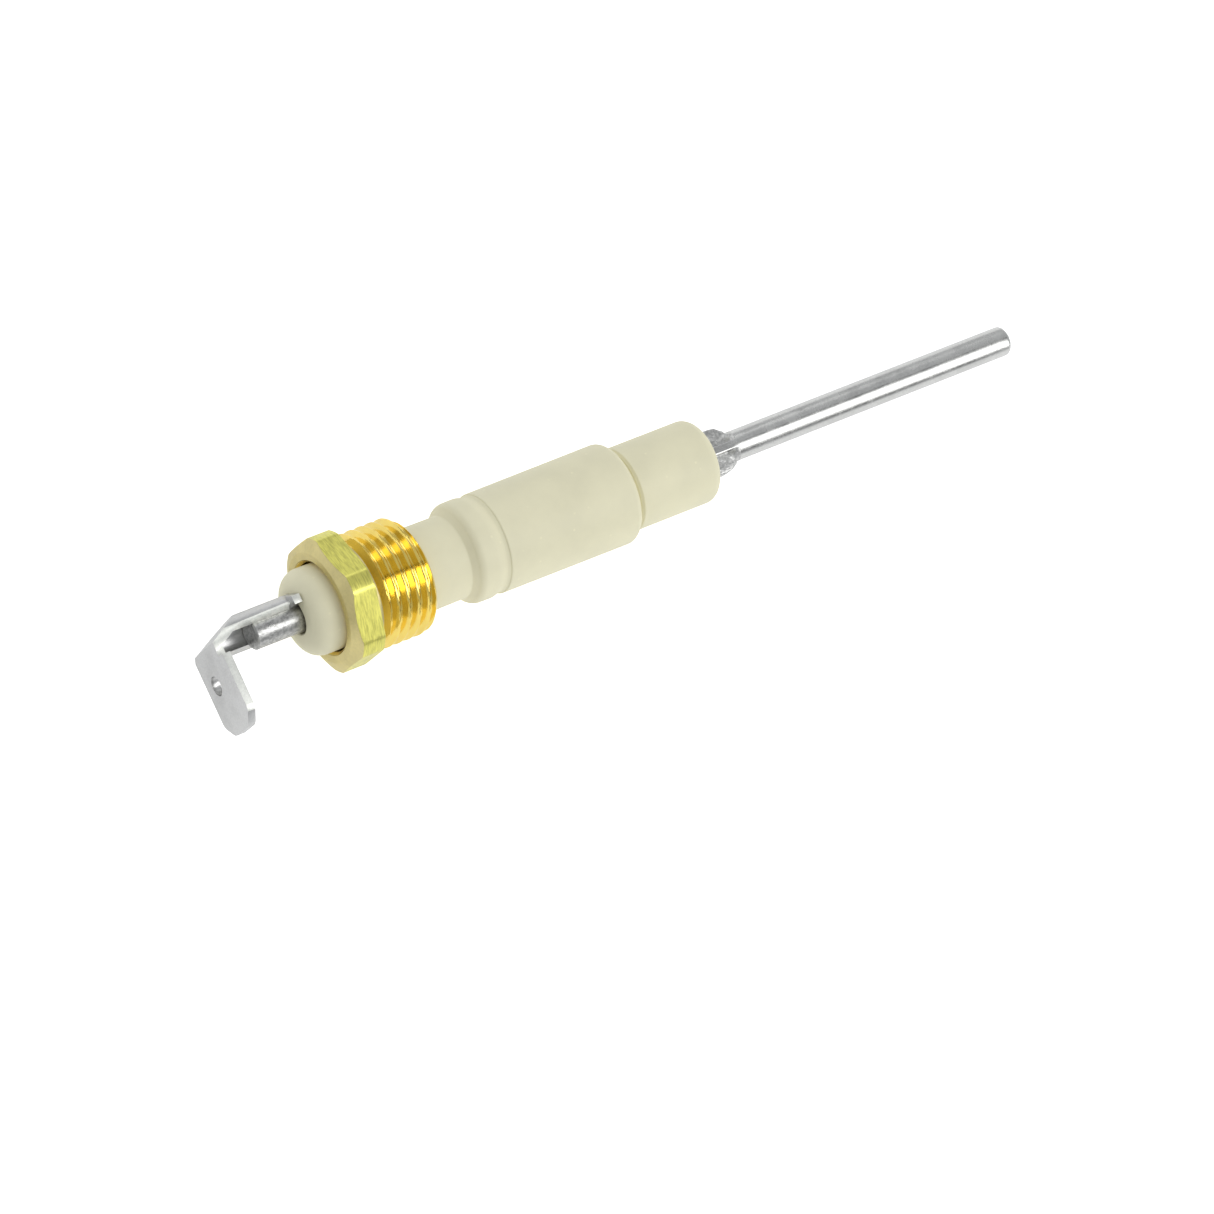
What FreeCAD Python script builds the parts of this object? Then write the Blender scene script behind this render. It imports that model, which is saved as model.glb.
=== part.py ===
import FreeCAD, Part
import math
import os

import Sketcher

# Flame sensor probe: a steel rod in a ceramic insulator, with a loose brass gland nut
# on the insulator's rear and a plated push-on blade welded to the rod's rear end.
#
# Row frame: +X runs along the probe towards the rod's tip, the blade points to -Y,
# +Z is up. The origin is on the probe's axis where the gland's thread begins.

DIMS = {
    # gland nut: stations along X, then radii and widths
    "gland_face_x": 3.60,
    "gland_hex_end_x": 0.68,
    "gland_thread_length": 5.70,
    "gland_across_flats": 11.906,
    "gland_turned_radius": 6.45,
    "gland_face_radius": 5.25,
    "gland_face_drop": 0.62,
    "gland_mouth_radius": 4.57,
    "gland_mouth_depth": 0.35,
    "gland_bore_radius": 4.27,
    "gland_neck_radius": 4.90,
    "gland_thread_radius": 5.556,
    "gland_end_radius": 5.02,
    "gland_end_chamfer": 0.50,
    # insulator: lengths along X from its nose, then radii
    "nose_x": 6.10,
    "rear_length": 16.45,
    "bead_rise_length": 0.55,
    "bead_crest_length": 1.65,
    "bead_fall_length": 1.25,
    "main_step_length": 0.15,
    "main_length": 14.50,
    "front_step_length": 0.62,
    "front_length": 8.88,
    "nose_radius": 4.10,
    "rear_radius": 3.98,
    "bead_shoulder_radius": 4.45,
    "bead_radius": 4.83,
    "bead_groove_radius": 4.66,
    "main_start_radius": 4.81,
    "main_end_radius": 4.87,
    "front_groove_radius": 3.90,
    "front_radius": 4.02,
    "bore_radius": 1.65,
    "nose_edge_round": 1.60,
    "main_edge_round": 0.75,
    "front_edge_round": 1.10,
    # flame rod
    "rod_radius": 1.45,
    "rod_rear_x": 10.88,
    "rod_tip_x": 73.00,
    "rod_tip_round": 0.55,
    "rod_rear_chamfer": 0.12,
    "ear_start_x": 38.00,
    "ear_full_length": 1.45,
    "ear_length": 3.55,
    "ear_half_span": 2.22,
    "ear_thickness": 1.50,
    "ridge_half_width": 0.42,
    "ear_pocket_length": 2.60,
    "ear_pocket_reach": 2.60,
    # terminal: plated sheet, a saddle welded over the rod and a blade
    "sheet_thickness": 0.80,
    "saddle_front_x": 6.15,
    "saddle_near_angle": 60.0,
    "saddle_far_angle": 112.0,
    "wing_reach": 2.45,
    "wing_length": 0.80,
    "blade_face_x": 15.55,
    "fold_start_x": 11.80,
    "fold_top_y": 0.30,
    "fold_drop": 0.90,
    "neck_near_z": 2.15,
    "near_shoulder_y": 1.10,
    "far_corner_cut": 0.50,
    "blade_half_width": 3.15,
    "blade_tip_y": 7.80,
    "tip_cut_length": 1.30,
    "tip_cut_width": 1.50,
    "blade_hole_radius": 0.93,
    "blade_hole_y": 3.05,
    "blade_hole_z": 0.90,
}

doc = FreeCAD.newDocument("flame_sensor_probe")
sheet = doc.addObject("Spreadsheet::Sheet", "dims")
for row, (alias, value) in enumerate(DIMS.items(), start=1):
    sheet.set("A%d" % row, alias)
    sheet.set("B%d" % row, "%g" % value)
    sheet.setAlias("B%d" % row, alias)
doc.recompute()


def origin_feature(body, role):
    for feature in body.Origin.OriginFeatures:
        if feature.Role == role:
            return feature
    raise RuntimeError("no origin feature " + role)


def new_body(label):
    body = doc.addObject("PartDesign::Body", label)
    body.Label = label
    body.Placement = FreeCAD.Placement()
    return body


def new_sketch(body, name, plane_role, offset=None):
    """A sketch on one of the body's own origin planes, moved along its normal by offset."""
    sketch = body.newObject("Sketcher::SketchObject", name)
    sketch.AttachmentSupport = (origin_feature(body, plane_role), [""])
    sketch.MapMode = "FlatFace"
    if offset is not None:
        sketch.setExpression("AttachmentOffset.Base.z", offset)
    return sketch


def value_of(text):
    """The number behind a sum of signed aliases, such as "-nose_x + rear_length"."""
    total = 0.0
    sign = 1.0
    for word in text.replace("-", " - ").replace("+", " + ").split():
        if word == "-":
            sign = -1.0
        elif word == "+":
            sign = 1.0
        else:
            total += sign * (0.0 if word == "0" else DIMS[word])
            sign = 1.0
    return total


def bound(text):
    """The same sum written for setExpression."""
    words = text.replace("-", " - ").replace("+", " + ").split()
    return " ".join(word if word in "-+0" else "dims." + word for word in words)


def pin_point(sketch, geometry, point, x_text, y_text):
    """Hold one point at a sheet-driven place measured from the sketch's origin."""
    for kind, text in (("DistanceX", x_text), ("DistanceY", y_text)):
        index = sketch.addConstraint(
            Sketcher.Constraint(kind, -1, 1, geometry, point, value_of(text)))
        name = "p%d_%d_%s" % (geometry, point, kind[-1].lower())
        sketch.renameConstraint(index, name)
        sketch.setExpression("Constraints." + name, bound(text))


def polygon(sketch, corners):
    """A closed outline of straight lines whose corners are pairs of sums of aliases."""
    points = [FreeCAD.Vector(value_of(x), value_of(y), 0) for x, y in corners]
    first = sketch.GeometryCount
    count = len(corners)
    for i in range(count):
        sketch.addGeometry(Part.LineSegment(points[i], points[(i + 1) % count]), False)
    for i in range(count):
        after = first + (i + 1) % count
        sketch.addConstraint(Sketcher.Constraint("Coincident", first + i, 2, after, 1))
    for i, (x_text, y_text) in enumerate(corners):
        pin_point(sketch, first + i, 1, x_text, y_text)


def circle(sketch, radius_text, x_text="0", y_text="0"):
    centre = FreeCAD.Vector(value_of(x_text), value_of(y_text), 0)
    index = sketch.addGeometry(
        Part.Circle(centre, FreeCAD.Vector(0, 0, 1), value_of(radius_text)), False)
    pin_point(sketch, index, 3, x_text, y_text)
    limit = sketch.addConstraint(Sketcher.Constraint("Radius", index, value_of(radius_text)))
    sketch.renameConstraint(limit, "radius%d" % index)
    sketch.setExpression("Constraints.radius%d" % index, bound(radius_text))


def revolve(body, name, corners):
    """Turn an outline in the XZ plane, x along the probe and y outwards, about X."""
    sketch = new_sketch(body, name + "_outline", "XZ_Plane")
    polygon(sketch, corners)
    turned = body.newObject("PartDesign::Revolution", name)
    turned.Profile = sketch
    turned.ReferenceAxis = (sketch, ["H_Axis"])
    turned.Angle = 360.0
    return turned


def ring_edges(shape, x, radius, tolerance=0.02):
    """Names of the whole circular edges about X at one station and radius."""
    names = []
    for number, edge in enumerate(shape.Edges, start=1):
        if not isinstance(edge.Curve, Part.Circle):
            continue
        centre = edge.Curve.Center
        on_axis = math.hypot(centre.y, centre.z) < tolerance
        if on_axis and abs(centre.x - x) < tolerance and abs(edge.Curve.Radius - radius) < tolerance:
            names.append("Edge%d" % number)
    if not names:
        raise RuntimeError("no ring edge at %.3f, %.3f" % (x, radius))
    return names


def round_ring(body, base, name, x, radius, size_alias):
    rounded = body.newObject("PartDesign::Fillet", name)
    rounded.Base = (base, ring_edges(base.Shape, x, radius))
    rounded.setExpression("Radius", "dims." + size_alias)
    doc.recompute()
    return rounded


def build_insulator():
    """Ceramic tube: rounded nose, rear cylinder, bead, main cylinder and front cylinder."""
    body = new_body("insulator")
    rear_end = "-nose_x + rear_length"
    rise = rear_end + " + bead_rise_length"
    crest = rise + " + bead_crest_length"
    groove = crest + " + bead_fall_length"
    main = groove + " + main_step_length"
    main_end = main + " + main_length"
    front = main_end + " + front_step_length"
    face = front + " + front_length"
    tube = revolve(body, "tube", [
        ("-nose_x", "bore_radius"),
        ("-nose_x", "nose_radius"),
        (rear_end, "rear_radius"),
        (rise, "bead_shoulder_radius"),
        (crest, "bead_radius"),
        (groove, "bead_groove_radius"),
        (main, "main_start_radius"),
        (main_end, "main_end_radius"),
        (main_end, "front_groove_radius"),
        (front, "front_radius"),
        (face, "front_radius"),
        (face, "bore_radius"),
    ])
    doc.recompute()
    base = round_ring(body, tube, "nose_round", value_of("-nose_x"),
                      DIMS["nose_radius"], "nose_edge_round")
    base = round_ring(body, base, "main_round", value_of(main_end),
                      DIMS["main_end_radius"], "main_edge_round")
    round_ring(body, base, "front_round", value_of(face),
               DIMS["front_radius"], "front_edge_round")
    return body


def build_gland_nut():
    """Hollow brass gland: chamfered hexagon, relief neck, thread at its full diameter."""
    body = new_body("gland_nut")
    thread_end = "gland_thread_length"
    revolve(body, "turned_blank", [
        ("-gland_face_x + gland_mouth_depth", "gland_bore_radius"),
        ("-gland_face_x", "gland_mouth_radius"),
        ("-gland_face_x", "gland_face_radius"),
        ("-gland_face_x + gland_face_drop", "gland_turned_radius"),
        ("-gland_hex_end_x", "gland_turned_radius"),
        ("-gland_hex_end_x", "gland_neck_radius"),
        ("0", "gland_neck_radius"),
        ("0", "gland_thread_radius"),
        (thread_end + " - gland_end_chamfer", "gland_thread_radius"),
        (thread_end, "gland_end_radius"),
        (thread_end, "gland_bore_radius"),
    ])
    doc.recompute()

    # six flats milled on the turned head, a corner of the hexagon pointing up
    blank_volume = body.Shape.Volume
    flats = new_sketch(body, "flats_outline", "YZ_Plane", "-dims.gland_hex_end_x")
    ring_radius = 2.0 * DIMS["gland_turned_radius"]
    centre = FreeCAD.Vector(0, 0, 0)
    normal = FreeCAD.Vector(0, 0, 1)
    ring = flats.addGeometry(Part.Circle(centre, normal, ring_radius), False)
    flats.addConstraint(Sketcher.Constraint("Coincident", ring, 3, -1, 1))
    flats.addConstraint(Sketcher.Constraint("Radius", ring, ring_radius))
    corner_radius = DIMS["gland_across_flats"] / math.sqrt(3.0)
    corners = []
    for i in range(6):
        turn = math.radians(90.0 + 60.0 * i)
        corners.append(FreeCAD.Vector(corner_radius * math.cos(turn), corner_radius * math.sin(turn), 0))
    sides = []
    for i in range(6):
        sides.append(flats.addGeometry(Part.LineSegment(corners[i], corners[(i + 1) % 6]), False))
    guide = flats.addGeometry(Part.Circle(centre, normal, corner_radius), True)
    flats.addConstraint(Sketcher.Constraint("Coincident", guide, 3, -1, 1))
    for i, side in enumerate(sides):
        flats.addConstraint(Sketcher.Constraint("Coincident", side, 2, sides[(i + 1) % 6], 1))
        flats.addConstraint(Sketcher.Constraint("PointOnObject", side, 1, guide))
        if i:
            flats.addConstraint(Sketcher.Constraint("Equal", sides[0], side))
    flats.addConstraint(Sketcher.Constraint("PointOnObject", sides[0], 1, -2))
    size = flats.addConstraint(Sketcher.Constraint("Radius", guide, corner_radius))
    flats.renameConstraint(size, "corner_radius")
    flats.setExpression("Constraints.corner_radius", "dims.gland_across_flats / sqrt(3)")
    mill = body.newObject("PartDesign::Pocket", "flats")
    mill.Profile = flats
    mill.setExpression("Length", "dims.gland_face_x - dims.gland_hex_end_x + 1")
    mill.Reversed = False
    doc.recompute()
    if mill.Shape.Volume > blank_volume - 1.0:
        raise RuntimeError("the flats cut nothing")
    return body


def build_flame_rod():
    """Round steel rod with two ears pressed out of it in front of the insulator."""
    body = new_body("flame_rod")
    bar = revolve(body, "bar", [
        ("-rod_rear_x", "0"),
        ("-rod_rear_x", "rod_radius - rod_rear_chamfer"),
        ("-rod_rear_x + rod_rear_chamfer", "rod_radius"),
        ("rod_tip_x", "rod_radius"),
        ("rod_tip_x", "0"),
    ])
    doc.recompute()
    round_ring(body, bar, "tip_round", DIMS["rod_tip_x"], DIMS["rod_radius"], "rod_tip_round")

    sketch = new_sketch(body, "ears_outline", "XY_Plane")
    start = "ear_start_x"
    full = "ear_start_x + ear_full_length"
    end = "ear_start_x + ear_length"
    polygon(sketch, [
        (start, "ear_half_span"),
        (full, "ear_half_span"),
        (end, "rod_radius - rod_rear_chamfer"),
        (end, "-rod_radius + rod_rear_chamfer"),
        (full, "-ear_half_span"),
        (start, "-ear_half_span"),
    ])
    ears = body.newObject("PartDesign::Pad", "ears")
    ears.Profile = sketch
    ears.SideType = "Symmetric"
    ears.setExpression("Length", "dims.ear_thickness")
    doc.recompute()

    # the dies leave a narrow ridge along the rod on both sides of the ears
    whole_volume = body.Shape.Volume
    for side, flip in (("upper", False), ("lower", True)):
        seat = "-dims.ear_thickness / 2" if flip else "dims.ear_thickness / 2"
        press = new_sketch(body, side + "_press_outline", "XY_Plane", seat)
        pocket_end = "ear_start_x + ear_pocket_length"
        for near, far in (("ridge_half_width", "ear_pocket_reach"),
                          ("-ear_pocket_reach", "-ridge_half_width")):
            polygon(press, [(start, near), (pocket_end, near), (pocket_end, far), (start, far)])
        pressed = body.newObject("PartDesign::Pocket", side + "_press")
        pressed.Profile = press
        pressed.setExpression("Length", "dims.rod_radius")
        pressed.Reversed = not flip
        doc.recompute()
        if body.Shape.Volume > whole_volume - 0.5:
            raise RuntimeError("the %s press cut nothing" % side)
        whole_volume = body.Shape.Volume
    return body


def cut_across(body, name, sketch):
    """Cut a side-on outline right through the terminal's width."""
    cut = body.newObject("PartDesign::Pocket", name)
    cut.Profile = sketch
    cut.SideType = "Two sides"
    cut.setExpression("Length", "dims.blade_half_width")
    cut.setExpression("Length2", "dims.blade_half_width")
    doc.recompute()


def build_terminal():
    """Plated sheet: a saddle wrapped over the rod's rear, a bend and a push-on blade."""
    body = new_body("terminal_tab")

    # fold: a disc as wide as the saddle, cut from below to leave a sloping sheet
    disc = new_sketch(body, "fold_section", "YZ_Plane", "-dims.fold_start_x")
    crown = "rod_radius + sheet_thickness"
    circle(disc, crown)
    fold = body.newObject("PartDesign::Pad", "fold")
    fold.Profile = disc
    fold.Reversed = True
    fold.setExpression("Length", "dims.blade_face_x - dims.fold_start_x")
    doc.recompute()
    below = new_sketch(body, "fold_underside", "XY_Plane")
    polygon(below, [
        ("-fold_start_x", crown + " - fold_drop"),
        ("-blade_face_x", "fold_top_y - fold_drop"),
        ("-blade_face_x", "-rod_radius - sheet_thickness"),
        ("-fold_start_x", "-rod_radius - sheet_thickness"),
    ])
    cut_across(body, "fold_hollow", below)

    # saddle: a round channel that wraps the rod from above and behind
    section = new_sketch(body, "saddle_section", "YZ_Plane", "-dims.saddle_front_x")
    inner = DIMS["rod_radius"]
    outer = inner + DIMS["sheet_thickness"]
    near = math.radians(DIMS["saddle_near_angle"])
    far = -math.radians(DIMS["saddle_far_angle"])
    centre = FreeCAD.Vector(0, 0, 0)
    normal = FreeCAD.Vector(0, 0, 1)
    arcs = []
    for radius in (inner, outer):
        arcs.append(section.addGeometry(
            Part.ArcOfCircle(Part.Circle(centre, normal, radius), far, near), False))
    rims = []
    for turn in (far, near):
        direction = FreeCAD.Vector(math.cos(turn), math.sin(turn), 0)
        rims.append(section.addGeometry(Part.LineSegment(direction * inner, direction * outer), False))
    for arc in arcs:
        section.addConstraint(Sketcher.Constraint("Coincident", arc, 3, -1, 1))
    for rim, point in zip(rims, (1, 2)):
        section.addConstraint(Sketcher.Constraint("Coincident", rim, 1, arcs[0], point))
        section.addConstraint(Sketcher.Constraint("Coincident", rim, 2, arcs[1], point))
        section.addConstraint(Sketcher.Constraint("PointOnObject", -1, 1, rim))
    for arc, name, text in ((arcs[0], "inner", "dims.rod_radius"),
                            (arcs[1], "outer", "dims.rod_radius + dims.sheet_thickness")):
        radius = inner if name == "inner" else outer
        index = section.addConstraint(Sketcher.Constraint("Radius", arc, radius))
        section.renameConstraint(index, name)
        section.setExpression("Constraints." + name, text)
    for rim, name, text, angle in ((rims[0], "far", "-dims.saddle_far_angle", far),
                                   (rims[1], "near", "dims.saddle_near_angle", near)):
        index = section.addConstraint(Sketcher.Constraint("Angle", rim, angle))
        section.renameConstraint(index, name)
        section.setExpression("Constraints." + name, text + " * 1 deg")
    saddle = body.newObject("PartDesign::Pad", "saddle")
    saddle.Profile = section
    saddle.Reversed = True
    saddle.setExpression("Length", "dims.blade_face_x - dims.saddle_front_x")
    doc.recompute()

    # the crown slopes down into the blade
    above = new_sketch(body, "fold_slope", "XY_Plane")
    polygon(above, [
        ("-fold_start_x", crown),
        ("-blade_face_x", "fold_top_y"),
        ("-blade_face_x", crown),
    ])
    cut_across(body, "crown_slope", above)

    # blade: neck, shoulders, parallel sides and a cut tip, with its latch hole
    plate = new_sketch(body, "blade_outline", "YZ_Plane", "-dims.blade_face_x")
    polygon(plate, [
        ("fold_top_y", "neck_near_z"),
        ("-near_shoulder_y", "neck_near_z"),
        ("-near_shoulder_y", "blade_half_width"),
        ("-blade_tip_y + tip_cut_length", "blade_half_width"),
        ("-blade_tip_y", "blade_half_width - tip_cut_width"),
        ("-blade_tip_y", "-blade_half_width + tip_cut_width"),
        ("-blade_tip_y + tip_cut_length", "-blade_half_width"),
        ("fold_top_y - far_corner_cut", "-blade_half_width"),
        ("fold_top_y", "-blade_half_width + far_corner_cut"),
    ])
    circle(plate, "blade_hole_radius", "-blade_hole_y", "-blade_hole_z")
    blade = body.newObject("PartDesign::Pad", "blade")
    blade.Profile = plate
    blade.setExpression("Length", "dims.sheet_thickness")
    doc.recompute()

    # wing: the saddle's near rim turned out flat against the insulator's nose
    flap = new_sketch(body, "wing_outline", "YZ_Plane", "-dims.saddle_front_x")
    root_y = outer * math.cos(near)
    root_z = outer * math.sin(near)
    reach = FreeCAD.Vector(root_y, DIMS["wing_reach"] + DIMS["sheet_thickness"] / 2, 0)
    wing_points = [
        FreeCAD.Vector(inner * math.cos(near), inner * math.sin(near), 0),
        FreeCAD.Vector(root_y + DIMS["sheet_thickness"], root_z - DIMS["sheet_thickness"] / 2, 0),
        FreeCAD.Vector(reach.x + DIMS["sheet_thickness"] / 2, reach.y, 0),
        FreeCAD.Vector(reach.x - DIMS["sheet_thickness"] / 2, reach.y, 0),
    ]
    for i in range(4):
        flap.addGeometry(Part.LineSegment(wing_points[i], wing_points[(i + 1) % 4]), False)
    for i in range(4):
        flap.addConstraint(Sketcher.Constraint("Coincident", i, 2, (i + 1) % 4, 1))
        flap.addConstraint(Sketcher.Constraint("Block", i))
    wing = body.newObject("PartDesign::Pad", "wing")
    wing.Profile = flap
    wing.Reversed = True
    wing.setExpression("Length", "dims.wing_length")
    doc.recompute()
    return body


bodies = [build_insulator(), build_gland_nut(), build_flame_rod(), build_terminal()]
doc.recompute()

for item in doc.Objects:
    if "Invalid" in item.State or "Error" in item.State:
        raise RuntimeError("%s failed: %s" % (item.Label, item.State))
for body in bodies:
    shape = body.Shape
    if shape.isNull() or not shape.isValid() or len(shape.Solids) != 1:
        raise RuntimeError(body.Label + " is not one valid solid")
    box = shape.BoundBox
    print("%-14s volume %8.2f  x %.2f..%.2f  y %.2f..%.2f  z %.2f..%.2f" % (
        body.Label, shape.Volume, box.XMin, box.XMax, box.YMin, box.YMax, box.ZMin, box.ZMax))

os.makedirs("parts", exist_ok=True)
for body in bodies:
    body.Shape.exportStep("parts/%s.step" % body.Label)
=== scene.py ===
import math

import bmesh
import bpy
from bpy.props import FloatProperty, FloatVectorProperty, IntProperty, PointerProperty
from mathutils import Matrix, Vector


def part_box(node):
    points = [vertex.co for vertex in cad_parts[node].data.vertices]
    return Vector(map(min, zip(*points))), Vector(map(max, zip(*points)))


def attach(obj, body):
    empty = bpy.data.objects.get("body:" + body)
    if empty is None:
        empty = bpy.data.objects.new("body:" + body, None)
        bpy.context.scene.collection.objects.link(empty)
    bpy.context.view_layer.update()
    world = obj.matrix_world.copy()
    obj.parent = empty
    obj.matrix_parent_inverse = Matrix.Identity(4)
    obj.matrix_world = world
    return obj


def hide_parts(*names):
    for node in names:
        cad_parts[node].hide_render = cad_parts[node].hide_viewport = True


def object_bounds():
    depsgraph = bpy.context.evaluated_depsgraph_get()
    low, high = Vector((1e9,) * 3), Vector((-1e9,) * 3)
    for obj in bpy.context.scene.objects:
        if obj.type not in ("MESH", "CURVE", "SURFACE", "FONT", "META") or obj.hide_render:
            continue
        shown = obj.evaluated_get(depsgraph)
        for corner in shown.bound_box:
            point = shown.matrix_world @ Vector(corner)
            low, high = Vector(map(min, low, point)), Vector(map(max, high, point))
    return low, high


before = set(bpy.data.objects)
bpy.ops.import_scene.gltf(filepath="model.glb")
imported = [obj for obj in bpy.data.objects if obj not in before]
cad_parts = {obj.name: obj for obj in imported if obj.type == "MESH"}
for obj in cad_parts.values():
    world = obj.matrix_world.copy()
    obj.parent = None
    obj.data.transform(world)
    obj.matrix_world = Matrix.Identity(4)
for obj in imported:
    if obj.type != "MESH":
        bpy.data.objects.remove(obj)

bl_info = {
    "name": "Flame sensor probe",
    "version": (1, 0, 0),
    "blender": (4, 5, 0),
    "location": "View3D > Sidebar > Probe",
    "description": "Builds the looks of a flame sensor probe around its fixed model",
    "category": "Object",
}

MM = 0.001
SHARP = math.radians(38)
# shares of half a pitch that are flat at the thread's crest and at its root
CREST_FLAT = 0.14
ROOT_FLAT = 0.12
LEAD_IN_SLOPE = 1.4
# a face of the hexagon that looks outwards by more than this is a flat, not the faced end
FLAT_FACING = 0.93
# how square the pressed ears' section is: 2 is an ellipse, higher is nearer a rectangle
SQUARENESS = 14.0
CAD_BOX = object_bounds()
GLAND_LOW, GLAND_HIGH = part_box("gland_nut")
CERAMIC_LOW, CERAMIC_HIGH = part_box("insulator")
ROD_LOW, ROD_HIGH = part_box("flame_rod")
TAB_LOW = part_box("terminal_tab")[0]


# ---------------------------------------------------------------------------
# settings

def length(name, text, value):
    return FloatProperty(name=name, description=text, default=value, unit="LENGTH",
                         precision=5, min=0.0)


def count(name, text, value):
    return IntProperty(name=name, description=text, default=value, min=1, soft_max=400)


def colour(name, text, value):
    return FloatVectorProperty(name=name, description=text, default=value, size=3,
                               subtype="COLOR", min=0.0, max=1.0)


class GlandSettings(bpy.types.PropertyGroup):
    across_flats: length("Across flats", "Hexagon size", GLAND_HIGH.y - GLAND_LOW.y)
    turned_radius: length("Turned radius", "Radius that the hexagon's corners are turned to",
                          GLAND_HIGH.z)
    face_radius: length("Face radius", "Flat ring of the hexagon's outer face", 5.25 * MM)
    face_drop: length("Face drop", "How far the corners fall behind the face", 0.62 * MM)
    head_length: length("Head length", "Length of the hexagon", 2.92 * MM)
    neck_radius: length("Neck radius", "Relief behind the hexagon", 4.90 * MM)
    neck_run: length("Neck run", "How far the neck runs on before the first turn", 0.12 * MM)
    thread_radius: length("Thread radius", "Major radius of the thread", 5.556 * MM)
    thread_depth: length("Thread depth", "From crest to root", 0.60 * MM)
    thread_pitch: length("Thread pitch", "24 turns to the inch", 25.4 / 24 * MM)
    bore_radius: length("Bore radius", "Clearance bore over the insulator", 4.27 * MM)
    mouth_radius: length("Mouth radius", "Bore's countersunk mouth", 4.57 * MM)
    mouth_depth: length("Mouth depth", "Depth of the countersink", 0.35 * MM)
    end_radius: length("End radius", "Radius of the thread's chamfered end", 5.02 * MM)
    end_chamfer: length("End chamfer", "Length of that chamfer", 0.50 * MM)
    edge_round: length("Edge round", "Break on the machined edges", 0.07 * MM)
    turn_steps: count("Turn steps", "Facets around the gland", 288)
    pitch_steps: count("Pitch steps", "Rings along one turn of the thread", 22)


class InsulatorSettings(bpy.types.PropertyGroup):
    bore_radius: length("Bore radius", "Bore for the rod", 1.65 * MM)
    nose_radius: length("Nose radius", "Radius at the rear nose", 4.10 * MM)
    rear_radius: length("Rear radius", "Radius before the bead", 3.98 * MM)
    bead_radius: length("Bead radius", "Radius of the bead's crest", 4.83 * MM)
    main_radius: length("Main radius", "Radius of the main cylinder", CERAMIC_HIGH.z)
    front_radius: length("Front radius", "Radius of the front cylinder", 4.02 * MM)
    groove_radius: length("Groove radius", "Bottom of the groove behind it", 3.60 * MM)
    main_start_radius: length("Main start radius", "Radius where the main cylinder begins",
                              4.81 * MM)
    rear_length: length("Rear length", "From the nose to the bead", 16.45 * MM)
    crest_length: length("Crest length", "From the bead's start to its crest", 2.20 * MM)
    fall_length: length("Fall length", "From the crest to the shallow groove", 1.25 * MM)
    step_length: length("Step length", "From that groove to the main cylinder", 0.15 * MM)
    main_length: length("Main length", "Length of the main cylinder", 14.50 * MM)
    groove_length: length("Groove length", "From it to the front cylinder", 0.62 * MM)
    nose_round: length("Nose round", "Rounding of the nose", 1.60 * MM)
    root_round: length("Root round", "Fillet at the foot of the bead", 0.25 * MM)
    bead_rise: length("Bead rise", "From the bead's start to the top of its shoulder", 1.15 * MM)
    bead_round: length("Bead round", "Rounding of the bead's shoulder", 0.90 * MM)
    bead_fall: length("Bead fall", "Drop from the crest to the shallow groove", 0.26 * MM)
    step_round: length("Step round", "Rounding where the main cylinder begins", 0.12 * MM)
    main_round: length("Main round", "Rounding of the main cylinder's end", 0.75 * MM)
    groove_round: length("Groove round", "Radius of the groove's bottom", 0.22 * MM)
    lip_round: length("Lip round", "Rounding of both bore mouths and the front lip", 0.15 * MM)
    front_round: length("Front round", "Rounding of the front end", 1.10 * MM)
    turn_steps: count("Turn steps", "Facets around the insulator", 160)


class RodSettings(bpy.types.PropertyGroup):
    radius: length("Radius", "Radius of the rod", 1.45 * MM)
    ear_span: length("Ear half span", "Reach of the pressed ears", ROD_HIGH.y)
    ear_thickness: length("Ear half thickness", "Half the thickness of the ears", 0.75 * MM)
    ridge_width: length("Ridge half width", "Half the ridge that the dies leave", 0.42 * MM)
    ear_start: length("Ear start", "Where the ears begin along the rod", 38.00 * MM)
    ear_full: length("Ear full", "Length at the full reach", 1.45 * MM)
    ear_length: length("Ear length", "Length of the ears", 3.55 * MM)
    rear_chamfer: length("Rear chamfer", "Break on the cut end", 0.12 * MM)
    tip_round: length("Tip round", "Rounding of the tip", 0.55 * MM)
    turn_steps: count("Turn steps", "Facets around the rod", 192)


class TerminalSettings(bpy.types.PropertyGroup):
    edge_round: length("Edge round", "Rounding of the sheet's sheared edges", 0.10 * MM)
    corner_round: length("Corner round", "Rounding of the blade's cut corners", 0.45 * MM)
    edge_steps: count("Edge steps", "Segments across a rounded edge", 3)
    corner_steps: count("Corner steps", "Segments across a rounded corner", 5)
    # the band at this angle gets the near-white sheared colour, a painted highlight
    rim_angle: FloatProperty(
        name="Rim angle", description="Where the saddle's near rim stands, from straight up",
        default=math.radians(60), subtype="ANGLE")


class FinishSettings(bpy.types.PropertyGroup):
    ceramic: colour("Ceramic", "Fired cream ceramic", (0.84, 0.80, 0.570))
    brass_flats: colour("Brass flats", "Drawn hexagon bar", (0.80, 0.76, 0.19))
    brass_turned: colour("Brass turned", "Bright turned thread", (0.93, 0.71, 0.18))
    # the faced end's own colour, also given to the relief neck as a painted highlight
    brass_face_and_neck_highlight: colour("Brass face", "Faced and countersunk end", (0.70, 0.61, 0.29))
    steel: colour("Steel", "Drawn rod", (0.63, 0.63, 0.61))
    plate: colour("Plate", "Plated terminal sheet", (0.60, 0.60, 0.59))
    # near-white: the sheared edges' own finish with a painted highlight in its colour
    sheared: colour("Sheared edge", "Edges where the sheet was cut", (0.93, 0.94, 0.88))
    floor: colour("Floor", "Plain pale floor", (0.93, 0.93, 0.93))


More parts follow.
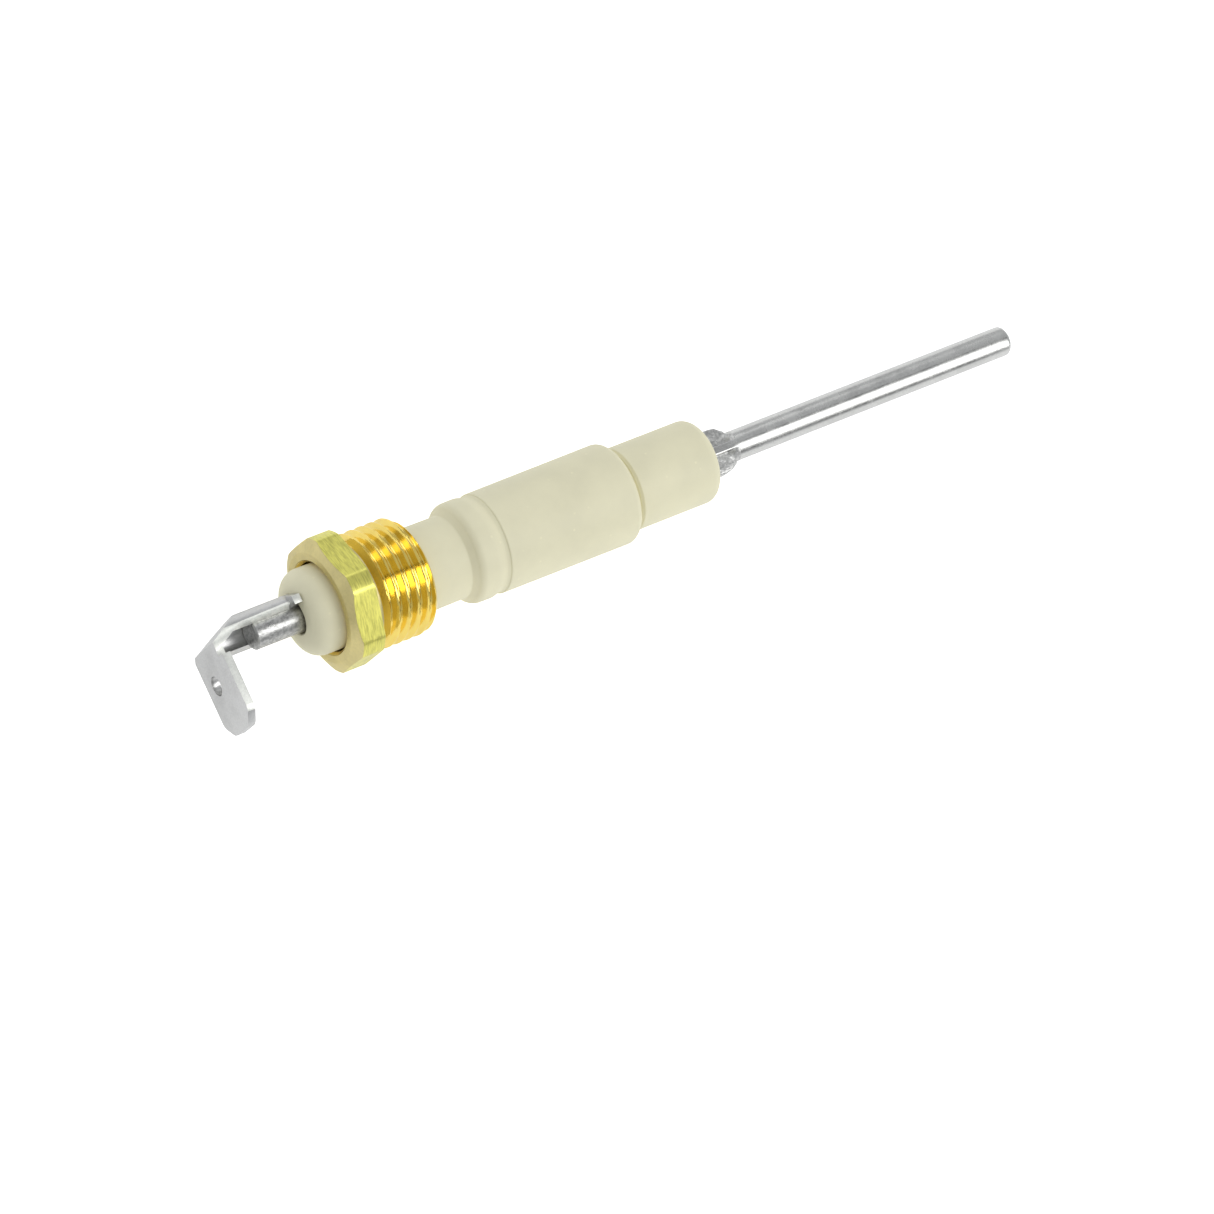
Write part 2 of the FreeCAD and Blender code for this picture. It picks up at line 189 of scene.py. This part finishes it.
class StageSettings(bpy.types.PropertyGroup):
    camera_aim: FloatVectorProperty(
        name="Camera aim", description="Point at the middle of the view", size=3,
        subtype="TRANSLATION", default=(22.69 * MM, -9.55 * MM, 0.0))
    camera_distance: length("Camera distance", "From the aim to the camera", 637.6 * MM)
    camera_azimuth: FloatProperty(
        name="Camera azimuth", description="Turn of the camera about the upright axis",
        default=math.radians(-76.46), subtype="ANGLE")
    camera_elevation: FloatProperty(
        name="Camera elevation", description="Height of the camera above the floor",
        default=math.radians(62.00), subtype="ANGLE")
    camera_roll: FloatProperty(
        name="Camera roll", description="Turn of the camera about its own line of sight",
        default=math.radians(52.92), subtype="ANGLE")
    lens: FloatProperty(name="Lens", description="Focal length in millimetres", default=207.6)


# ---------------------------------------------------------------------------
# mesh helpers

def to_object(bm, name, materials):
    """A mesh object at the origin, smooth, with its materials in slot order."""
    if not bm.faces:
        raise RuntimeError(name + " has no faces")
    bmesh.ops.recalc_face_normals(bm, faces=bm.faces)
    mesh = bpy.data.meshes.new(name)
    bm.to_mesh(mesh)
    bm.free()
    for material in materials:
        mesh.materials.append(material)
    mesh.polygons.foreach_set("use_smooth", [True] * len(mesh.polygons))
    mesh.set_sharp_from_angle(angle=SHARP)
    piece = bpy.data.objects.new(name, mesh)
    bpy.context.scene.collection.objects.link(piece)
    return piece


def arc(cx, cr, radius, start, end, steps):
    """Points of a round stretch of an outline, angles in degrees."""
    points = []
    for i in range(steps + 1):
        turn = math.radians(start + (end - start) * i / steps)
        points.append((cx + radius * math.cos(turn), cr + radius * math.sin(turn)))
    return points


def spread(first, last, count):
    """Evenly spaced points between two corners of an outline, without the last."""
    points = []
    for i in range(count):
        share = i / count
        points.append((first[0] + (last[0] - first[0]) * share,
                       first[1] + (last[1] - first[1]) * share))
    return points


def lathe(outline, segments):
    """Spin a closed outline of (x, radius) points about X into a closed ring."""
    bm = bmesh.new()
    verts = [bm.verts.new((x, 0.0, radius)) for x, radius in outline]
    edges = [bm.edges.new((verts[i], verts[(i + 1) % len(verts)])) for i in range(len(verts))]
    bmesh.ops.spin(bm, geom=verts + edges, cent=(0, 0, 0), axis=(1, 0, 0), dvec=(0, 0, 0),
                   angle=math.tau, steps=segments, use_merge=True, use_duplicate=False)
    return bm


def solid_lathe(outline, segments):
    """Spin an open outline whose ends lie on X, and close both poles."""
    bm = bmesh.new()
    verts = [bm.verts.new((x, 0.0, radius)) for x, radius in outline]
    edges = [bm.edges.new((verts[i], verts[i + 1])) for i in range(len(verts) - 1)]
    bmesh.ops.spin(bm, geom=verts + edges, cent=(0, 0, 0), axis=(1, 0, 0), dvec=(0, 0, 0),
                   angle=math.tau, steps=segments, use_merge=True, use_duplicate=False)
    bmesh.ops.remove_doubles(bm, verts=bm.verts, dist=1e-7)
    return bm


def reshape(bm, rule):
    """Give every vertex the radius that rule(x, turn, radius) returns; turn is from +Z."""
    for vert in bm.verts:
        x, y, z = vert.co
        radius = math.hypot(y, z)
        if radius < 1e-7:
            continue
        scale = rule(x, math.atan2(y, z), radius) / radius
        vert.co.y = y * scale
        vert.co.z = z * scale


def soft_min(a, b, blend):
    """The smaller of two sizes, rounded over where they cross."""
    gap = max(blend - abs(a - b), 0.0) / blend
    return min(a, b) - gap * gap * blend * 0.25


def soft_max(a, b, blend):
    """The larger of two sizes, filleted where they cross."""
    return -soft_min(-a, -b, blend)


def smooth_step(value, low, high):
    share = min(max((value - low) / (high - low), 0.0), 1.0)
    return share * share * (3.0 - 2.0 * share)


# ---------------------------------------------------------------------------
# material helpers

def new_material(name):
    material = bpy.data.materials.new(name)
    material.use_nodes = True
    nodes = material.node_tree.nodes
    shader = nodes["Principled BSDF"]
    place = nodes.new("ShaderNodeTexCoord")
    return material, nodes, material.node_tree.links, shader, place


def stretched(nodes, links, place, scale):
    """Object coordinates scaled along each axis."""
    mapping = nodes.new("ShaderNodeMapping")
    mapping.inputs["Scale"].default_value = scale
    links.new(place.outputs["Object"], mapping.inputs["Vector"])
    return mapping


def noise(nodes, links, vector, scale, detail=3.0, roughness=0.55):
    texture = nodes.new("ShaderNodeTexNoise")
    texture.inputs["Scale"].default_value = scale
    texture.inputs["Detail"].default_value = detail
    texture.inputs["Roughness"].default_value = roughness
    links.new(vector, texture.inputs["Vector"])
    return texture


def ramp(nodes, links, value, stops):
    """A colour ramp with (position, colour) stops."""
    node = nodes.new("ShaderNodeValToRGB")
    elements = node.color_ramp.elements
    while len(elements) > 1:
        elements.remove(elements[-1])
    elements[0].position = stops[0][0]
    elements[0].color = (*stops[0][1], 1.0)
    for position, shade in stops[1:]:
        element = elements.new(position)
        element.color = (*shade, 1.0)
    links.new(value, node.inputs["Fac"])
    return node


def spread_value(nodes, links, value, low, high):
    """Map a 0.3 to 0.7 noise onto low to high."""
    node = nodes.new("ShaderNodeMapRange")
    node.inputs["From Min"].default_value = 0.3
    node.inputs["From Max"].default_value = 0.7
    node.inputs["To Min"].default_value = low
    node.inputs["To Max"].default_value = high
    links.new(value, node.inputs["Value"])
    return node


def bump(nodes, links, height, distance, strength, before=None):
    node = nodes.new("ShaderNodeBump")
    node.inputs["Distance"].default_value = distance
    node.inputs["Strength"].default_value = strength
    links.new(height, node.inputs["Height"])
    if before is not None:
        links.new(before.outputs["Normal"], node.inputs["Normal"])
    return node


def darkened(nodes, links, colour_out, value_out, low):
    """Multiply a colour by a noise that runs from low to one."""
    spots = ramp(nodes, links, value_out, [(0.38, (low, low, low)), (0.58, (1.0, 1.0, 1.0))])
    mix = nodes.new("ShaderNodeMix")
    mix.data_type = "RGBA"
    mix.blend_type = "MULTIPLY"
    mix.inputs["Factor"].default_value = 1.0
    links.new(colour_out, mix.inputs["A"])
    links.new(spots.outputs["Color"], mix.inputs["B"])
    return mix


def shade(base, factor):
    return tuple(min(channel * factor, 1.0) for channel in base)


def ceramic_material(base):
    """Unglazed cream ceramic: faint mottling, a few pale specks, a fine matt grain."""
    material, nodes, links, shader, place = new_material("ceramic_cream")
    mottle = noise(nodes, links, place.outputs["Object"], 260.0, 4.0)
    tone = ramp(nodes, links, mottle.outputs["Fac"],
                [(0.30, shade(base, 0.95)), (0.55, base), (0.75, shade(base, 1.03))])
    specks = nodes.new("ShaderNodeTexVoronoi")
    specks.inputs["Scale"].default_value = 620.0
    links.new(place.outputs["Object"], specks.inputs["Vector"])
    spots = ramp(nodes, links, specks.outputs["Distance"],
                 [(0.0, (1.0, 1.0, 1.0)), (0.10, (0.0, 0.0, 0.0))])
    mix = nodes.new("ShaderNodeMix")
    mix.data_type = "RGBA"
    links.new(spots.outputs["Color"], mix.inputs["Factor"])
    links.new(tone.outputs["Color"], mix.inputs["A"])
    mix.inputs["B"].default_value = (*shade(base, 1.10), 1.0)
    links.new(mix.outputs["Result"], shader.inputs["Base Color"])
    grain = noise(nodes, links, place.outputs["Object"], 9000.0, 2.0)
    rough = spread_value(nodes, links, mottle.outputs["Fac"], 0.50, 0.62)
    links.new(rough.outputs["Result"], shader.inputs["Roughness"])
    fine = bump(nodes, links, grain.outputs["Fac"], 0.00001, 0.35)
    links.new(fine.outputs["Normal"], shader.inputs["Normal"])
    shader.inputs["Specular IOR Level"].default_value = 0.38
    return material


def brass_material(name, base, rough_low, rough_high, lines, line_bump, line_tone=0.92):
    """Machined brass. lines is the stretch of the tool marks along X, Y and Z."""
    material, nodes, links, shader, place = new_material(name)
    shader.inputs["Metallic"].default_value = 1.0
    cloud = noise(nodes, links, place.outputs["Object"], 420.0, 4.0)
    tone = ramp(nodes, links, cloud.outputs["Fac"],
                [(0.32, shade(base, 0.90)), (0.52, base), (0.72, shade(base, 1.06))])
    marks = noise(nodes, links, stretched(nodes, links, place, lines).outputs["Vector"],
                  1.0, 4.0, 0.65)
    lined = darkened(nodes, links, tone.outputs["Color"], marks.outputs["Fac"], line_tone)
    links.new(lined.outputs["Result"], shader.inputs["Base Color"])
    rough = spread_value(nodes, links, marks.outputs["Fac"], rough_low, rough_high)
    links.new(rough.outputs["Result"], shader.inputs["Roughness"])
    grooves = bump(nodes, links, marks.outputs["Fac"], 0.000012, line_bump)
    grit = noise(nodes, links, place.outputs["Object"], 7000.0, 2.0)
    finish = bump(nodes, links, grit.outputs["Fac"], 0.000006, 0.3, grooves)
    links.new(finish.outputs["Normal"], shader.inputs["Normal"])
    return material


def steel_material(name, base, rough_low, rough_high, lines, line_bump, grit_bump,
                   grit_size=5200.0, grit_depth=0.00001, grit_tone=0.90):
    """Drawn or plated steel: long draw lines, small pits and a clouded sheen."""
    material, nodes, links, shader, place = new_material(name)
    shader.inputs["Metallic"].default_value = 1.0
    cloud = noise(nodes, links, place.outputs["Object"], 500.0, 4.0)
    tone = ramp(nodes, links, cloud.outputs["Fac"],
                [(0.30, shade(base, 0.88)), (0.52, base), (0.74, shade(base, 1.05))])
    draw = noise(nodes, links, stretched(nodes, links, place, lines).outputs["Vector"],
                 1.0, 3.0, 0.6)
    rough = spread_value(nodes, links, cloud.outputs["Fac"], rough_low, rough_high)
    links.new(rough.outputs["Result"], shader.inputs["Roughness"])
    grooves = bump(nodes, links, draw.outputs["Fac"], 0.00001, line_bump)
    pits = noise(nodes, links, place.outputs["Object"], grit_size, 3.0, 0.7)
    spotted = darkened(nodes, links, tone.outputs["Color"], pits.outputs["Fac"], grit_tone)
    links.new(spotted.outputs["Result"], shader.inputs["Base Color"])
    finish = bump(nodes, links, pits.outputs["Fac"], grit_depth, grit_bump, grooves)
    links.new(finish.outputs["Normal"], shader.inputs["Normal"])
    return material


# ---------------------------------------------------------------------------
# pieces

class PROBE_OT_gland(bpy.types.Operator):
    """Brass gland: chamfered hexagon, relief neck, helical thread and clearance bore"""
    bl_idname = "probe.gland"
    bl_label = "Gland nut"

    def execute(self, context):
        size = context.scene.probe_gland
        finish = context.scene.probe_finish
        face_x = GLAND_LOW.x
        head_x = face_x + size.head_length
        end_x = GLAND_HIGH.x
        flat = size.across_flats / 2
        turned = size.turned_radius
        edge = size.edge_round
        crest = size.thread_radius
        neck = size.neck_radius
        run_x = size.neck_run
        bore = size.bore_radius
        chamfer_x = end_x - size.end_chamfer
        mouth_x = face_x + size.mouth_depth
        step_up = 0.04 * MM
        drop_x = face_x + size.face_drop
        outline = spread((face_x, size.mouth_radius), (face_x, size.face_radius), 8)
        outline += spread((face_x, size.face_radius), (drop_x, turned), 26)
        outline += spread((drop_x, turned), (head_x - edge, turned), 40)
        outline += arc(head_x - edge, turned - edge, edge, 90, 0, 4)
        outline += spread((head_x, turned - 1.5 * edge), (head_x, neck), 30)
        outline += spread((head_x, neck), (run_x, neck), 10)
        outline += spread((run_x, neck + 0.01 * MM), (run_x + step_up, crest), 2)
        turns = (chamfer_x - run_x) / size.thread_pitch
        outline += spread((run_x + step_up, crest), (chamfer_x, crest),
                          int(turns * size.pitch_steps))
        outline += spread((chamfer_x, crest), (end_x, size.end_radius), 12)
        outline += spread((end_x, size.end_radius), (end_x, bore), 6)
        outline += spread((end_x, bore), (mouth_x, bore), 8)
        outline += spread((mouth_x, bore), (face_x, size.mouth_radius), 4)
        bm = lathe(outline, size.turn_steps)

        def rule(x, turn, radius):
            if radius <= size.mouth_radius + 1e-6:
                return radius
            if x <= head_x + 1e-7:
                side = (turn + math.pi / 6) % (math.pi / 3) - math.pi / 6
                flat_radius = flat / math.cos(math.pi / 6 - abs(side))
                return soft_min(radius, flat_radius, edge)
            if x < run_x + 1e-7:
                return radius
            phase = (x / size.thread_pitch - turn / math.tau) % 1.0
            wave = abs(phase - 0.5) * 2.0
            share = min(max((wave - CREST_FLAT) / (1.0 - CREST_FLAT - ROOT_FLAT), 0.0), 1.0)
            depth = size.thread_depth * share
            lead_in = neck + (x - run_x) * LEAD_IN_SLOPE
            return min(radius, crest - depth, lead_in)

        reshape(bm, rule)
        bmesh.ops.remove_doubles(bm, verts=bm.verts, dist=2e-6)
        bmesh.ops.recalc_face_normals(bm, faces=bm.faces)
        for face in bm.faces:
            middle = face.calc_center_median()
            out = math.hypot(middle.y, middle.z)
            radial = (face.normal.y * middle.y + face.normal.z * middle.z) / out
            # painted highlight: the relief neck takes the paler faced brass instead of the turned
            # brass
            if head_x < middle.x < run_x:
                face.material_index = 2
            elif middle.x > head_x or out < size.mouth_radius * 0.99:
                face.material_index = 1
            elif radial < FLAT_FACING:
                face.material_index = 2
            else:
                face.material_index = 0
        flats = brass_material("brass_flats", finish.brass_flats, 0.28, 0.42,
                               (7000.0, 900.0, 900.0), 0.5, 0.74)
        turned_brass = brass_material("brass_turned", finish.brass_turned, 0.10, 0.20,
                                      (26000.0, 300.0, 300.0), 0.08)
        # this faced brass also paints a highlight onto the relief neck
        faced = brass_material("brass_faced_neck_highlight", finish.brass_face_and_neck_highlight, 0.38, 0.52,
                               (3000.0, 3000.0, 3000.0), 0.4)
        piece = to_object(bm, "gland_nut_machined", [flats, turned_brass, faced])
        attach(piece, "gland")
        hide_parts("gland_nut")
        return {"FINISHED"}


class PROBE_OT_insulator(bpy.types.Operator):
    """Ceramic insulator: rounded nose, rear cylinder, bead, main and front cylinders"""
    bl_idname = "probe.insulator"
    bl_label = "Insulator"

    def execute(self, context):
        size = context.scene.probe_insulator
        finish = context.scene.probe_finish
        nose_x = CERAMIC_LOW.x
        face_x = CERAMIC_HIGH.x
        rear_end = nose_x + size.rear_length
        crest_x = rear_end + size.crest_length
        groove_x = crest_x + size.fall_length
        main_x = groove_x + size.step_length
        main_end = main_x + size.main_length
        front_x = main_end + size.groove_length
        shoulder_x = rear_end + size.bead_rise
        bead = size.bead_radius
        front = size.front_radius
        bore = size.bore_radius
        nose_round = size.nose_round
        front_round = size.front_round
        root = size.root_round
        step = size.step_round
        main_round = size.main_round
        groove = size.groove_round
        lip = size.lip_round
        gap = 0.05 * MM

        outline = arc(nose_x + nose_round, size.nose_radius - nose_round, nose_round, 180, 92, 14)
        outline += spread((nose_x + nose_round, size.nose_radius),
                          (rear_end - root, size.rear_radius), 40)
        outline += arc(rear_end - root, size.rear_radius + root, root, 270, 325, 5)
        outline += arc(shoulder_x, bead - size.bead_round - 0.02 * MM, size.bead_round, 150, 92, 12)
        outline += spread((shoulder_x + 0.1 * MM, bead - 0.015 * MM), (crest_x, bead), 4)
        falls = 10
        for i in range(falls):
            share = i / falls
            outline.append((crest_x + (groove_x - crest_x) * share,
                            bead - size.bead_fall * smooth_step(share, 0.0, 1.0)))
        outline += arc(main_x + step, size.main_start_radius - step, step, 180, 90, 4)
        outline += spread((main_x + step + 0.04 * MM, size.main_start_radius + 0.002 * MM),
                          (main_end - main_round, size.main_radius), 30)
        outline += arc(main_end - main_round, size.main_radius - main_round, main_round, 90, 4, 10)
        outline += arc(main_end + groove, size.groove_radius + groove, groove, 180, 360, 10)
        outline += arc(front_x + 0.10 * MM, front - lip, lip, 160, 90, 4)
        outline += spread((front_x + 0.12 * MM, front), (face_x - front_round, front), 20)
        outline += arc(face_x - front_round, front - front_round, front_round, 90, 0, 12)
        outline += spread((face_x, front - front_round - gap), (face_x, bore + lip), 5)
        outline += arc(face_x - lip, bore + lip, lip, 0, -90, 4)
        outline += spread((face_x - lip - gap, bore), (nose_x + lip + gap, bore), 24)
        outline += arc(nose_x + lip, bore + lip, lip, 270, 180, 4)
        outline += spread((nose_x, bore + lip + gap), (nose_x, size.nose_radius - nose_round), 3)[1:]
        bm = lathe(outline, size.turn_steps)
        bmesh.ops.remove_doubles(bm, verts=bm.verts, dist=1e-6)
        piece = to_object(bm, "insulator_body", [ceramic_material(finish.ceramic)])
        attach(piece, "ceramic")
        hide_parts("insulator")
        return {"FINISHED"}


class PROBE_OT_rod(bpy.types.Operator):
    """Flame rod: drawn bar with pressed ears, a ridge between them and a rounded tip"""
    bl_idname = "probe.rod"
    bl_label = "Flame rod"

    def execute(self, context):
        size = context.scene.probe_rod
        finish = context.scene.probe_finish
        rear_x = ROD_LOW.x
        tip_x = ROD_HIGH.x
        radius = size.radius
        ear_x = size.ear_start
        ear_full = ear_x + size.ear_full
        ear_end = ear_x + size.ear_length
        chamfer = size.rear_chamfer
        tip_round = size.tip_round
        pole = 0.2 * MM
        gap = 0.05 * MM

        outline = [(rear_x, 0.0)]
        outline += spread((rear_x, pole), (rear_x, radius - chamfer), 6)
        outline += spread((rear_x, radius - chamfer), (rear_x + chamfer, radius), 2)
        outline += spread((rear_x + chamfer, radius), (ear_x - gap, radius), 50)
        outline += spread((ear_x - gap, radius), (ear_end + 8 * gap, radius), 74)
        outline += spread((ear_end + 8 * gap, radius), (tip_x - tip_round, radius), 40)
        outline += arc(tip_x - tip_round, radius - tip_round, tip_round, 90, 0, 8)
        outline += spread((tip_x, radius - tip_round - gap), (tip_x, pole), 3)
        outline.append((tip_x, 0.0))
        bm = solid_lathe(outline, size.turn_steps)

        def block(turn, half_y, half_z):
            across = abs(math.sin(turn)) / half_y
            up = abs(math.cos(turn)) / half_z
            return 1.0 / (across ** SQUARENESS + up ** SQUARENESS) ** (1.0 / SQUARENESS)

        def rule(x, turn, now):
            if x < ear_x or x > ear_end + 0.2 * MM:
                return now
            share = min(max((x - ear_full) / (ear_end - ear_full), 0.0), 1.0)
            span = radius + (size.ear_span - radius) * (1.0 - share * share)
            wing = block(turn, span - 0.01 * MM, size.ear_thickness)
            ridge = block(turn, size.ridge_width, radius)
            pressed = soft_max(wing, ridge, 0.12 * MM)
            runout = smooth_step(x + abs(math.sin(turn)) * 0.6 * MM, ear_full + 1.2 * MM,
                                 ear_end + 0.15 * MM)
            whole = max(now, span * abs(math.sin(turn)) ** 2)
            return pressed + (whole - pressed) * runout if runout < 1.0 else now

        reshape(bm, rule)
        bright = steel_material("steel_drawn", finish.steel, 0.20, 0.32,
                                (120.0, 9000.0, 9000.0), 0.12, 0.10)
        pressed_steel = steel_material("steel_pressed", finish.steel, 0.28, 0.45,
                                       (2500.0, 2500.0, 2500.0), 0.6, 0.9, 3600.0, 0.00006,
                                       0.66)
        # a darker (0.85), rougher and more pitted copy of the drawn steel, for the stub behind the
        # insulator's nose
        darker_stub_steel = steel_material("steel_stub_darker", shade(finish.steel, 0.85), 0.26, 0.40,
                              (2600.0, 1500.0, 1500.0), 0.5, 0.7, 3000.0, 0.00003, 0.62)
        for face in bm.faces:
            middle = face.calc_center_median()
            on_ridge = abs(middle.y) < size.ridge_width and abs(middle.z) > 0.85 * radius
            if ear_x <= middle.x <= ear_end and not on_ridge:
                face.material_index = 1
            # the stub behind the insulator's nose takes the darker copy of the steel
            elif middle.x < CERAMIC_LOW.x + 1.0 * MM:
                face.material_index = 2
        piece = to_object(bm, "flame_rod_drawn", [bright, pressed_steel, darker_stub_steel])
        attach(piece, "electrode")
        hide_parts("flame_rod")
        return {"FINISHED"}


def is_cut_corner(edge):
    """An edge straight through the sheet at one of the cut corners of the blade's tip."""
    first, last = (vert.co for vert in edge.verts)
    blade_back = TAB_LOW.x + 0.9 * MM
    in_blade = max(first.x, last.x) < blade_back and min(abs(first.z), abs(last.z)) > 0.8 * MM
    through = abs(first.x - last.x) > 0.7 * MM
    near_tip = first.y < -5.0 * MM
    turned = math.radians(20) < edge.calc_face_angle(0.0) < math.radians(75)
    return in_blade and through and near_tip and turned


class PROBE_OT_terminal(bpy.types.Operator):
    """Terminal: plated sheet with rounded edges, on the model's saddle, fold and blade"""
    bl_idname = "probe.terminal"
    bl_label = "Terminal"

    def execute(self, context):
        size = context.scene.probe_terminal
        finish = context.scene.probe_finish
        bm = bmesh.new()
        bm.from_mesh(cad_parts["terminal_tab"].data)
        bmesh.ops.remove_doubles(bm, verts=bm.verts, dist=1e-6)
        bmesh.ops.dissolve_limit(bm, angle_limit=math.radians(1.0), verts=bm.verts,
                                 edges=bm.edges)
        corners = [edge for edge in bm.edges if is_cut_corner(edge)]
        bmesh.ops.bevel(bm, geom=corners, offset=size.corner_round, affect="EDGES",
                        segments=size.corner_steps, profile=0.5, material=-1,
                        clamp_overlap=True)
        sharp = [edge for edge in bm.edges
                 if edge.is_manifold and edge.calc_face_angle(0.0) > math.radians(35)]
        bmesh.ops.bevel(bm, geom=sharp, offset=size.edge_round, affect="EDGES",
                        segments=size.edge_steps, profile=0.5, material=-1,
                        clamp_overlap=True)
        bmesh.ops.recalc_face_normals(bm, faces=bm.faces)
        for face in bm.faces:
            middle = face.calc_center_median()
            # painted highlight: sheared edges facing +Z and a band at the saddle's near rim get the
            # near-white sheared colour
            rim_highlight_band = abs(math.atan2(middle.z, middle.y) - size.rim_angle) < math.radians(4)
            near_edge_highlight = face.normal.z > 0.8 and abs(middle.z) > 2.0 * MM
            if near_edge_highlight or rim_highlight_band:
                face.material_index = 1
        plate = steel_material("plated_sheet", finish.plate, 0.28, 0.40,
                               (1500.0, 1500.0, 1500.0), 0.25, 0.25)
        # the sheared edges' own texture, with a painted highlight in its near-white colour
        sheared = steel_material("sheared_edge_painted_highlight", finish.sheared, 0.34, 0.50,
                                 (9000.0, 900.0, 9000.0), 0.5, 0.3)
        piece = to_object(bm, "terminal_sheet", [plate, sheared])
        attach(piece, "electrode")
        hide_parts("terminal_tab")
        return {"FINISHED"}


class PROBE_OT_stage(bpy.types.Operator):
    """Pale floor, soft boxes and the camera"""
    bl_idname = "probe.stage"
    bl_label = "Stage"

    def execute(self, context):
        stage = context.scene.probe_stage
        finish = context.scene.probe_finish
        scene = context.scene
        scene.view_settings.view_transform = "Standard"

        bm = bmesh.new()
        bmesh.ops.create_grid(bm, x_segments=1, y_segments=1, size=3.0)
        bmesh.ops.translate(bm, verts=bm.verts, vec=(0, 0, CAD_BOX[0][2] - 0.02 * MM))
        floor_material, nodes, links, shader, _ = new_material("floor_pale")
        shader.inputs["Base Color"].default_value = (*finish.floor, 1.0)
        shader.inputs["Roughness"].default_value = 0.9
        shader.inputs["Emission Color"].default_value = (1.0, 1.0, 1.0, 1.0)
        # the floor glows more for the camera than for the metal that reflects it
        rays = nodes.new("ShaderNodeLightPath")
        glow = nodes.new("ShaderNodeMapRange")
        glow.inputs["To Min"].default_value = 0.28
        glow.inputs["To Max"].default_value = 0.85
        links.new(rays.outputs["Is Camera Ray"], glow.inputs["Value"])
        links.new(glow.outputs["Result"], shader.inputs["Emission Strength"])
        floor = to_object(bm, "floor", [floor_material])

        world = bpy.data.worlds.new("studio")
        world.use_nodes = True
        background = world.node_tree.nodes["Background"]
        background.inputs["Color"].default_value = (0.95, 0.97, 1.0, 1.0)
        background.inputs["Strength"].default_value = 0.58
        scene.world = world

        middle = Vector((25 * MM, 0, 0))
        soft_box("key_strip", middle, Vector((0.50, -0.46, 0.745)), 0.55, (0.24, 0.60), 1.25)
        soft_box("fill_above", middle, Vector((0.15, 0.75, 0.60)), 0.60, (0.40, 0.20), 0.35)
        dark, nodes, links, shader, _ = new_material("card_dark")
        shader.inputs["Base Color"].default_value = (0.03, 0.03, 0.03, 1.0)
        card("card_above", middle, Vector((0.50, 0.02, 0.87)), 0.55, (0.07, 0.34), dark)
        card("card_below", middle, Vector((0.50, -0.76, 0.42)), 0.55, (0.08, 0.34), dark)

        camera_data = bpy.data.cameras.new("camera")
        camera_data.lens = stage.lens
        camera_data.sensor_width = 36.0
        camera_data.clip_start = 0.01
        camera = bpy.data.objects.new("camera", camera_data)
        scene.collection.objects.link(camera)
        azimuth = stage.camera_azimuth
        elevation = stage.camera_elevation
        back = Vector((math.sin(azimuth) * math.cos(elevation),
                       -math.cos(azimuth) * math.cos(elevation), math.sin(elevation)))
        right = Vector((0, 0, 1)).cross(back).normalized()
        up = back.cross(right)
        turn = Matrix((right, up, back)).transposed().to_4x4()
        place = Matrix.Translation(Vector(stage.camera_aim) + back * stage.camera_distance)
        camera.matrix_world = place @ turn @ Matrix.Rotation(stage.camera_roll, 4, "Z")
        scene.camera = camera
        return {"FINISHED"}


def soft_box(name, target, direction, distance, size, power):
    """A rectangular light that faces the target."""
    light = bpy.data.lights.new(name, "AREA")
    light.shape = "RECTANGLE"
    light.size, light.size_y = size
    light.energy = power
    lamp = bpy.data.objects.new(name, light)
    bpy.context.scene.collection.objects.link(lamp)
    away = direction.normalized()
    lamp.location = target + away * distance
    lamp.rotation_euler = away.to_track_quat("Z", "Y").to_euler()
    return lamp


def card(name, target, direction, distance, size, material):
    """A dark card beside a light, seen only as a dark line in the metal."""
    bm = bmesh.new()
    bmesh.ops.create_grid(bm, x_segments=1, y_segments=1, size=0.5)
    bmesh.ops.scale(bm, verts=bm.verts, vec=(size[0], size[1], 1.0))
    away = direction.normalized()
    turn = away.to_track_quat("Z", "Y").to_matrix()
    bmesh.ops.rotate(bm, verts=bm.verts, cent=(0, 0, 0), matrix=turn)
    bmesh.ops.translate(bm, verts=bm.verts, vec=target + away * distance)
    to_object(bm, name, [material])


PIECES = (PROBE_OT_gland, PROBE_OT_insulator, PROBE_OT_rod, PROBE_OT_terminal, PROBE_OT_stage)


class PROBE_PT_panel(bpy.types.Panel):
    """Buttons for the pieces and fields for their sizes and colours"""
    bl_idname = "PROBE_PT_panel"
    bl_label = "Flame sensor probe"
    bl_space_type = "VIEW_3D"
    bl_region_type = "UI"
    bl_category = "Probe"

    def draw(self, context):
        for piece in PIECES:
            self.layout.operator(piece.bl_idname)
        for name in SETTINGS:
            box = self.layout.box()
            group = getattr(context.scene, name)
            for key in group.__annotations__:
                box.prop(group, key)


SETTINGS = {
    "probe_gland": GlandSettings,
    "probe_insulator": InsulatorSettings,
    "probe_rod": RodSettings,
    "probe_terminal": TerminalSettings,
    "probe_finish": FinishSettings,
    "probe_stage": StageSettings,
}


def register():
    for name, group in SETTINGS.items():
        bpy.utils.register_class(group)
        setattr(bpy.types.Scene, name, PointerProperty(type=group))
    for piece in PIECES:
        bpy.utils.register_class(piece)
    bpy.utils.register_class(PROBE_PT_panel)


def unregister():
    bpy.utils.unregister_class(PROBE_PT_panel)
    for piece in reversed(PIECES):
        bpy.utils.unregister_class(piece)
    for name, group in reversed(SETTINGS.items()):
        delattr(bpy.types.Scene, name)
        bpy.utils.unregister_class(group)


def main():
    register()
    bpy.ops.probe.gland()
    bpy.ops.probe.insulator()
    bpy.ops.probe.rod()
    bpy.ops.probe.terminal()
    bpy.ops.probe.stage()


if __name__ == "__main__":
    main()
